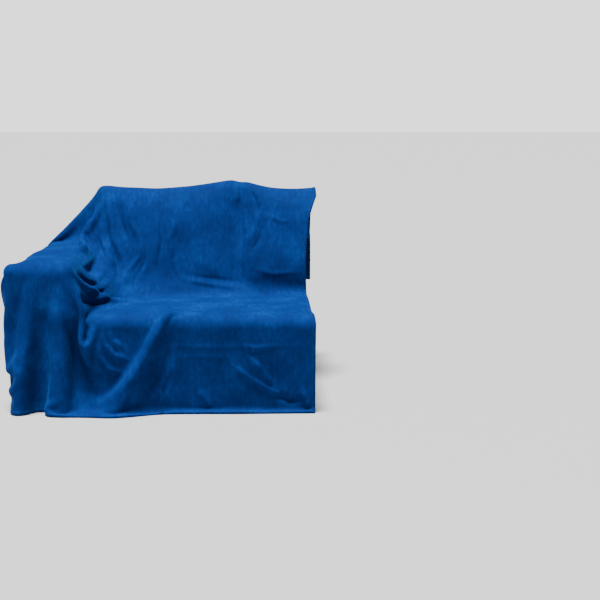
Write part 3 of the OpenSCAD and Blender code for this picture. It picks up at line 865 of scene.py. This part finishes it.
def thread(name, colour):
    """Twisted sewing thread."""
    material, tree, shader = new_material(name, 0.6)
    twist = noise(tree, coordinates(tree, False), 900.0, 2.0)
    tinted(tree, shader, twist, colour, 0.6, 0.3, 0.7)
    bump(tree, shader, twist, 0.2 * MM)
    return material


def felt(name, colour):
    """Non-woven sheet with its fibres drawn out along one way."""
    material, tree, shader = new_material(name, 0.95, 0.1)
    fibres = noise(tree, coordinates(tree, True), 260.0, 5.0, 0.7, stretch=(1.0, 3.0, 1.0))
    tinted(tree, shader, fibres, colour, 0.75, 0.3, 0.65)
    bump(tree, shader, fibres, 0.3 * MM)
    return material


def moulded(name, colour, roughness):
    """Moulded plastic or rubber sheath with a fine spark-eroded grain."""
    material, tree, shader = new_material(name, roughness, 0.4)
    where = coordinates(tree, False)
    speck = noise(tree, where, 1800.0, 2.0)
    cloud = noise(tree, where, 60.0, 2.0)
    tinted(tree, shader, cloud, colour, 0.85, 0.35, 0.65)
    roughened(tree, shader, cloud, roughness * 0.85, roughness)
    bump(tree, shader, speck, 0.05 * MM, 0.6)
    return material


def metal(name, colour, roughness):
    """Drawn or plated metal, brushed along one way."""
    material, tree, shader = new_material(name, roughness)
    shader.inputs["Metallic"].default_value = 1.0
    brushed = noise(tree, coordinates(tree, False), 700.0, 3.0, 0.6, stretch=(1.0, 1.0, 12.0))
    tinted(tree, shader, brushed, colour, 0.8, 0.3, 0.7)
    roughened(tree, shader, brushed, roughness * 0.7, roughness * 1.2)
    bump(tree, shader, brushed, 0.02 * MM)
    return material


THREAD_PITCH = 0.5 * MM


def woven(name, colour):
    """Flat woven tape: warp and weft crossing at the thread pitch."""
    material, tree, shader = new_material(name, 0.75, 0.2)
    where = coordinates(tree, True)
    # the wave texture repeats 20 / (2 pi) times in one unit at scale 1
    scale = math.pi * 2 / THREAD_PITCH / 20
    warp = add(tree, "ShaderNodeTexWave", Scale=scale, bands_direction="X")
    weft = add(tree, "ShaderNodeTexWave", Scale=scale, bands_direction="Y")
    for wave in (warp, weft):
        tree.links.new(where, wave.inputs["Vector"])
    weave = math_node(tree, "MAXIMUM", warp.outputs["Fac"], weft.outputs["Fac"])
    tinted(tree, shader, weave, colour, 0.7, 0.2, 0.8)
    bump(tree, shader, weave, 0.15 * MM)
    return material


# each material's maker with its colours, and its sheen or its roughness
RECIPES = {
    "plush_face": (plush, (0.0, 0.009, 0.062), (0.0, 0.019, 0.120), (0.0, 0.044, 0.225), 0.12),
    "plush_back": (plush, (0.0, 0.009, 0.058), (0.0, 0.018, 0.110), (0.0, 0.038, 0.190), 0.1),
    "binding": (plush, (0.0, 0.009, 0.060), (0.0, 0.019, 0.115), (0.0, 0.042, 0.210), 0.12),
    "binding_thread": (thread, (0.004, 0.060, 0.220)),
    "carrier_felt": (felt, (0.80, 0.79, 0.74)),
    "element_sheath": (moulded, (0.75, 0.28, 0.05), 0.5),
    "couching_thread": (thread, (0.85, 0.85, 0.82)),
    "lead_sheath": (moulded, (0.50, 0.04, 0.03), 0.45),
    "sensor_sheath": (moulded, (0.72, 0.55, 0.10), 0.45),
    "crimp_metal": (metal, (0.70, 0.70, 0.70), 0.35),
    "cutout_case": (moulded, (0.08, 0.08, 0.09), 0.5),
    "housing_plastic": (moulded, (0.030, 0.032, 0.036), 0.55),
    "contact_insulator": (moulded, (0.75, 0.73, 0.66), 0.5),
    "contact_metal": (metal, (0.78, 0.60, 0.25), 0.3),
    "screw_metal": (metal, (0.62, 0.62, 0.62), 0.3),
    "patch_fabric": (woven, (0.002, 0.030, 0.130)),
    "label_tape": (woven, (0.86, 0.86, 0.84)),
}
MATERIALS = {name: make(name, *values) for name, (make, *values) in RECIPES.items()}


def finished(piece, slot, *nodes):
    """Gives a piece its material, its slot and its body, and the CAD nodes that it stands for."""
    piece.data.materials.clear()
    piece.data.materials.append(MATERIALS[slot])
    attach(piece, "root")
    if nodes:
        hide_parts(*nodes)
    return piece


# === Plies, carrier and edge binding ===
# the notch for the inlet's housing, half its width and its depth, and half the gap in the hem
NOTCH_W, NOTCH_H = 26.2 * MM, 30.2 * MM
FLANGE_W = 31.4 * MM
UNDER_MARGIN = BIND_W + SEAM_GAP


def lines_through(start, end, count, *through):
    """Even grid lines, the nearest ones moved onto the values that they must pass through."""
    lines = np.linspace(start, end, count)
    for value in through:
        lines[np.argmin(np.abs(lines - value))] = value
    return lines


def notched(name, us, vs, half_w, depth, heights):
    """A layer with a notch in its rear edge for the inlet."""
    u, v = np.meshgrid((us[1:] + us[:-1]) / 2, (vs[1:] + vs[:-1]) / 2, indexing="ij")
    keep = ~((np.abs(u - INLET_U) < half_w) & (v > FLAT_L - depth))
    return slab(name, us, vs, keep, *heights)


def ply(name, margin, heights):
    us = lines_through(margin, FLAT_W - margin, MESH[0], INLET_U - NOTCH_W, INLET_U + NOTCH_W)
    vs = lines_through(margin, FLAT_L - margin, MESH[1], FLAT_L - NOTCH_H)
    return notched(name, us, vs, NOTCH_W, NOTCH_H, heights)


# The binding's section in millimetres: its outer line, and its inner one back
BIND_OUTER = [(14.6, 4.3), (14.2, 5.0), (12.6, 5.5), (10.6, 5.1), (7.5, 5.7), (4.0, 5.8),
              (1.0, 5.4), (-0.9, 4.0), (-1.5, 1.2), (-1.4, -1.5), (-0.8, -3.9), (1.2, -4.7),
              (5.0, -4.8), (10.0, -4.7), (13.6, -4.7), (14.1, -4.4)]
BIND_INNER = [(14.3, 4.2), (13.6, 4.35), (12.2, 4.4), (10.6, 4.35), (7.5, 4.5), (4.0, 4.5),
              (1.6, 4.45), (0.0, 3.2), (-0.2, 1.0), (-0.2, -1.2), (0.0, -3.0), (1.6, -3.5),
              (5.0, -3.6), (10.0, -3.6), (13.6, -3.6), (14.0, -3.8)]
BIND_LOOP = [(s * MM, h * MM) for s, h in BIND_OUTER + BIND_INNER[::-1]]
HEM_STEP = 6 * MM
# how far from the edge the hem's two stitch rows lie, and the height of each
HEM_ROW = 10.6 * MM
HEM_ROWS = (("hem_stitches", 5.2 * MM), ("hem_stitches_under", -4.75 * MM))


def hem(name, edge, start, end):
    places = {"front": (lambda t, s: (t, s), True),
              "rear": (lambda t, s: (t, FLAT_L - s), False),
              "right": (lambda t, s: (s, t), False),
              "left": (lambda t, s: (FLAT_W - s, t), True)}
    place_flat, flip = places[edge]
    stations = np.linspace(start, end, int(round((end - start) / HEM_STEP)) + 1)
    return swept(name, BIND_LOOP, place_flat, stations, flip)


def joined(name, objects):
    """Several meshes as one piece."""
    with bpy.context.temp_override(active_object=objects[0], selected_editable_objects=objects):
        bpy.ops.object.join()
    objects[0].name = name
    return objects[0]


def build_cloth():
    top = ply("top_plush_draped", 0.0, TOP_H)
    under = ply("under_plush_draped", UNDER_MARGIN, UNDER_H)
    carrier = ply("carrier_sheet", CARRIER_MARGIN, CARRIER_H)
    over = BIND_T + SEAM_GAP
    hems = {
        "front_hem": hem("front_binding", "front", -over, FLAT_W + over),
        "rear_hem": joined("rear_binding", [
            hem("rear_binding_right", "rear", -over, INLET_U - FLANGE_W),
            hem("rear_binding_left", "rear", INLET_U + FLANGE_W, FLAT_W + over)]),
        "right_hem": hem("right_binding", "right", BIND_W, FLAT_L - BIND_W),
        "left_hem": hem("left_binding", "left", BIND_W, FLAT_L - BIND_W),
    }
    finished(top, "plush_face", "top_plush")
    finished(under, "plush_back", "under_plush")
    finished(carrier, "carrier_felt", "heater_carrier")
    for node, piece in hems.items():
        finished(piece, "binding", node)


def build_stitching():
    right, left = HEM_ROW, FLAT_W - HEM_ROW
    front, rear = HEM_ROW, FLAT_L - HEM_ROW
    rows = [[(right, front), (left, front)], [(left, front), (left, rear)],
            [(left, rear), (INLET_U + FLANGE_W, rear)],
            [(INLET_U - FLANGE_W, rear), (right, rear)], [(right, rear), (right, front)]]
    both = [stitch_rows(name, rows, height, HEM_STITCH) for name, height in HEM_ROWS]
    finished(joined("hem_stitches", both), "binding_thread", "hem_stitching")


# === Heating element, leads and what is on them ===
RUN_MARGIN, SEAT_RUNS = 0.045, 8
RUN_PITCH = (U_WALL - 2 * RUN_MARGIN) / (SEAT_RUNS - 1)
RUN_U = [RUN_MARGIN + i * RUN_PITCH for i in range(SEAT_RUNS)] + [U_ARM + 0.075, U_ARM + 0.195]
FRONT_TURN_V, REAR_TURN_V = 0.070, FLAT_L - 0.100
TURN_R = 0.03
# how far short of a full run the element's two ends stop, and how far the couching reaches
WIRE_END, COUCHING_REACH = 2 * MM, 1.5 * MM
# the leads: v of each, half the distance between them at the contact block, and that block's v
LEAD_V, FAR_LEAD_V = FLAT_L - 0.070, FLAT_L - 0.052
LEAD_APART, BLOCK_V = 6 * MM, FLAT_L - 0.0239
CRIMP_V = REAR_TURN_V + 9 * MM
# a crimp sleeve as (distance along it, radius), in millimetres
CRIMP_SHAPE = [(-0.6, 1.0), (1, 1.35), (3, 1.1), (6, 1.1), (8, 1.35), (9, 1.0)]
# x of the two cutouts in the far lead, and half their length, width and thickness
CUTOUT_X, CUTOUT_HALF = (0.10, -0.30), (8 * MM, 2.5 * MM, 1.25 * MM)
# the sensor's end, halfway between two runs, half its sizes, and v of its lead
SENSOR_U, SENSOR_V = (RUN_U[1] + RUN_U[2]) / 2, 0.874
SENSOR_HALF, SENSOR_LEAD_V = (6 * MM, 3 * MM, 0.95 * MM), FLAT_L - 0.0346
# points round a capsule, and its rings as (share of its size, share of its half thickness)
CAPSULE_SIDES = 24
CAPSULE_RINGS = ((0.80, -1.0), (0.97, -0.75), (1.0, 0.0), (0.97, 0.75), (0.80, 1.0))


def with_height(line, h):
    return np.column_stack([line, np.full(len(line), h)])


def in_layer(name, corners, spacing, round_r, radius):
    """A round wire or lead along flat corners, in the element's layer."""
    line = with_height(walked(corners, spacing, round_r), WIRE_H)
    return tubes(name, [line], radius, sides=8)


def capsule(name, u, v, half, along_u):
    """A moulded lozenge in the leads' layer."""
    half_l, half_w, half_t = half
    turn = np.linspace(0, 2 * np.pi, CAPSULE_SIDES, endpoint=False)
    rings = []
    for share, lift in CAPSULE_RINGS:
        a = np.sign(np.cos(turn)) * np.abs(np.cos(turn)) ** 0.45 * half_l * share
        b = np.sign(np.sin(turn)) * np.abs(np.sin(turn)) ** 0.45 * half_w * share
        a, b = (a, b) if along_u else (b, a)
        rings.append(place(u + a, v + b, np.full(CAPSULE_SIDES, WIRE_H + lift * half_t)))
    points = np.array(rings)
    at = np.arange(points.shape[0] * CAPSULE_SIDES).reshape(-1, CAPSULE_SIDES)
    return mesh_object(name, points, [*skin(at).tolist(), at[0, ::-1].tolist(), at[-1].tolist()])


def build_element():
    corners = [(RUN_U[0], REAR_TURN_V - WIRE_END)]
    for i, u in enumerate(RUN_U):
        near, far = (REAR_TURN_V, FRONT_TURN_V) if i % 2 == 0 else (FRONT_TURN_V, REAR_TURN_V)
        if i:
            corners.append((u, near))
        corners.append((u, far))
    corners[-1] = (RUN_U[-1], REAR_TURN_V - WIRE_END)
    wire = in_layer("element_wire", corners, spacing=8 * MM, round_r=TURN_R, radius=WIRE_R)
    finished(wire, "element_sheath", "heating_wire")
    # the couching crosses the wire from side to side
    dense = walked(corners, 4 * MM, TURN_R)
    ahead = unit(np.gradient(dense, axis=0))
    across = np.column_stack([-ahead[:, 1], ahead[:, 0]])
    side = np.where(np.arange(len(dense)) % 2 == 0, COUCHING_REACH, -COUCHING_REACH)[:, None]
    zigzag = with_height(dense + across * side, COUCHING_H)
    couching = tubes("couching_zigzag", [zigzag], radius=0.12 * MM, sides=4)
    finished(couching, "couching_thread", "wire_couching")


def build_leads():
    leads = []
    for name, start_u, lead_v, end_u in (("lead_0", INLET_U - LEAD_APART, LEAD_V, RUN_U[0]),
                                         ("lead_1", INLET_U + LEAD_APART, FAR_LEAD_V, RUN_U[-1])):
        corners = [(start_u, BLOCK_V), (start_u, lead_v), (end_u, lead_v), (end_u, CRIMP_V)]
        leads.append(in_layer(name, corners, spacing=3 * MM, round_r=4 * MM, radius=WIRE_R))
    finished(joined("lead_pair", leads), "lead_sheath", "lead_wires")
    radii = np.array([[r * MM for _, r in CRIMP_SHAPE]])
    crimps = []
    for u in (RUN_U[0], RUN_U[-1]):
        line = [(u, CRIMP_V - s * MM, WIRE_H) for s, _ in CRIMP_SHAPE]
        crimps.append(tubes(f"crimp_{u:.2f}", [line], radii, sides=10))
    finished(joined("crimp_pair", crimps), "crimp_metal", "crimp_splices")
    cutouts = [capsule(f"cutout_{i}", RIGHT_X - x, FAR_LEAD_V, CUTOUT_HALF, True)
               for i, x in enumerate(CUTOUT_X)]
    finished(joined("cutout_pair", cutouts), "cutout_case", "overheat_cutouts")
    sensor = capsule("sensor_body", SENSOR_U, SENSOR_V + SENSOR_HALF[0], SENSOR_HALF, False)
    finished(sensor, "cutout_case", "temperature_sensor")
    corners = [(SENSOR_U, SENSOR_V + 11 * MM), (SENSOR_U, SENSOR_LEAD_V), (INLET_U, SENSOR_LEAD_V),
               (INLET_U, BLOCK_V)]
    wire = in_layer("sensor_wire", corners, spacing=4 * MM, round_r=3 * MM, radius=0.6 * MM)
    finished(wire, "sensor_sheath", "sensor_lead")


# === Patch, label, and the inlet's own parts ===
# half the patch's width, and half its notch's
PATCH_HALF_W, PATCH_GAP = 48 * MM, 31.2 * MM
# how far the patch's rear edge, the step of its notch and its front edge lie from the hem
PATCH_REAR, PATCH_STEP, PATCH_FRONT = 16 * MM, 35.2 * MM, 60 * MM
PATCH_H = (STACK_T / 2 + 0.1 * MM, STACK_T / 2 + 0.9 * MM)
PATCH_GRID = (49, 23)
# how far the stitch row lies inside the patch's outline, and its height
PATCH_INSET, PATCH_STITCH_H = 3 * MM, STACK_T / 2 + 1.1 * MM


def build_patch():
    us = lines_through(INLET_U - PATCH_HALF_W, INLET_U + PATCH_HALF_W, PATCH_GRID[0],
                       INLET_U - PATCH_GAP, INLET_U + PATCH_GAP)
    vs = lines_through(FLAT_L - PATCH_FRONT, FLAT_L - PATCH_REAR, PATCH_GRID[1],
                       FLAT_L - PATCH_STEP)
    patch = notched("inlet_patch", us, vs, PATCH_GAP, PATCH_STEP, PATCH_H)
    finished(patch, "patch_fabric", "socket_patch")
    outer, inner = PATCH_HALF_W - PATCH_INSET, PATCH_GAP + PATCH_INSET
    low, mid = FLAT_L - PATCH_REAR - PATCH_INSET, FLAT_L - PATCH_STEP - PATCH_INSET
    high = FLAT_L - PATCH_FRONT + PATCH_INSET
    outline = [(-inner, low), (-outer, low), (-outer, high), (outer, high), (outer, low),
               (inner, low), (inner, mid), (-inner, mid), (-inner, low)]
    outline = [(INLET_U + u, v) for u, v in outline]
    rows = [[a, b] for a, b in zip(outline[:-1], outline[1:])]
    stitches = stitch_rows("patch_stitches", rows, PATCH_STITCH_H, SMALL_STITCH)
    finished(stitches, "binding_thread", "patch_stitching")


# how far the label reaches inside the blanket's edge and into the hem's thickness outside it
LABEL_IN, LABEL_PAST = 6 * MM, 1.4 * MM
# half its thickness, and how far it curls along its length and twists across its width
LABEL_HALF_T, LABEL_CURL, LABEL_TWIST = 0.2 * MM, 1.6 * MM, 1.2 * MM
# its stitch rows: their distances from the edge, how far in they start, and their height
LABEL_ROWS, LABEL_ROW_IN, LABEL_ROW_H = (3 * MM, 6 * MM), 2 * MM, 5.75 * MM
LABEL_GRID = (18, 30)


def build_label():
    left_u, right_u = RIGHT_X - label_high.x, RIGHT_X - label_low.x
    drop = label_high.z - label_low.z
    us = np.linspace(left_u, right_u, LABEL_GRID[0])
    vs = np.linspace(FLAT_L - LABEL_IN, FLAT_L + LABEL_PAST + drop, LABEL_GRID[1])
    u, v = np.meshgrid(us, vs, indexing="ij")
    past = np.maximum(v - FLAT_L, 0) / drop
    twist = np.sin((u - left_u) / (right_u - left_u) * np.pi)
    curl = LABEL_CURL * np.sin(np.pi * past) + LABEL_TWIST * past * twist
    keep = np.ones((LABEL_GRID[0] - 1, LABEL_GRID[1] - 1), bool)
    label = slab("label_tag", us, vs, keep, curl - LABEL_HALF_T, curl + LABEL_HALF_T)
    finished(label, "label_tape", "care_label")
    rows = [[(left_u + LABEL_ROW_IN, FLAT_L - s), (right_u - LABEL_ROW_IN, FLAT_L - s)]
            for s in LABEL_ROWS]
    finished(stitch_rows("label_stitches", rows, LABEL_ROW_H, SMALL_STITCH),
             "couching_thread", "label_stitching")


def finish_cad_nodes():
    slots = {"socket_lower_shell": "housing_plastic", "socket_upper_shell": "housing_plastic",
             "contact_block": "contact_insulator", "contact_pins": "contact_metal",
             "socket_screws": "screw_metal"}
    for node, slot in slots.items():
        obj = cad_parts[node]
        if not obj.material_slots:
            obj.data.materials.append(None)
        for material_slot in obj.material_slots:
            material_slot.material = MATERIALS[slot]


# === Camera, light and floor ===
LENS, SENSOR_W, LOOK_DOWN = 75, 36, 9.3
WHITE, AMBIENT, BACKDROP = (1.0, 1.0, 1.0, 1.0), 0.10, 1.9
FLOOR_HALF, FLOOR_GREY = 40.0, 0.42
# each light's kind, place, aim, size and power; a sun's size is its angle
LIGHTS = {
    "key": ("SUN", (-0.30, -0.38, 4.0), (0.0, 0.0, 0.0), 0.30, 11.5),
    "fill": ("AREA", (-3.2, -2.4, 1.3), (-0.3, 0.0, 0.0), 1.2, 22),
}


def set_camera():
    camera = bpy.data.cameras.new("camera")
    camera.lens = LENS
    camera.sensor_width = SENSOR_W
    obj = linked("camera", camera)
    obj.location = EYE
    obj.rotation_euler = (math.radians(90 - LOOK_DOWN), 0, 0)
    bpy.context.scene.camera = obj


def add_light(name, kind, at, aim, size, power):
    light = bpy.data.lights.new(name, kind)
    light.energy = power
    if kind == "SUN":
        light.angle = size
    else:
        light.shape = "DISK"
        light.size = size
    obj = linked(name, light)
    obj.location = at
    obj.rotation_euler = (Vector(aim) - Vector(at)).to_track_quat("-Z", "Y").to_euler()


def set_world():
    """An even pale surround; the camera sees it brighter than it lights."""
    world = bpy.data.worlds.new("studio")
    world.use_nodes = True
    tree = world.node_tree
    lit = tree.nodes["Background"]
    lit.inputs["Color"].default_value = WHITE
    lit.inputs["Strength"].default_value = AMBIENT
    seen = add(tree, "ShaderNodeBackground", Color=WHITE, Strength=BACKDROP)
    path = add(tree, "ShaderNodeLightPath")
    mix = add(tree, "ShaderNodeMixShader")
    tree.links.new(path.outputs["Is Camera Ray"], mix.inputs[0])
    tree.links.new(lit.outputs[0], mix.inputs[1])
    tree.links.new(seen.outputs[0], mix.inputs[2])
    tree.links.new(mix.outputs[0], tree.nodes["World Output"].inputs["Surface"])
    bpy.context.scene.world = world


def set_stage():
    set_world()
    corners = [(x * FLOOR_HALF, y * FLOOR_HALF, FLOOR_Z)
               for x, y in ((-1, -1), (1, -1), (1, 1), (-1, 1))]
    floor = mesh_object("floor", np.array(corners), [[0, 1, 2, 3]])
    material, _, shader = new_material("floor", 0.8)
    shader.inputs["Base Color"].default_value = (FLOOR_GREY, FLOOR_GREY, FLOOR_GREY, 1.0)
    floor.data.materials.append(material)
    for name, values in LIGHTS.items():
        add_light(name, *values)


set_camera()
set_stage()
build_cloth()
build_stitching()
build_element()
build_leads()
build_patch()
build_label()
finish_cad_nodes()
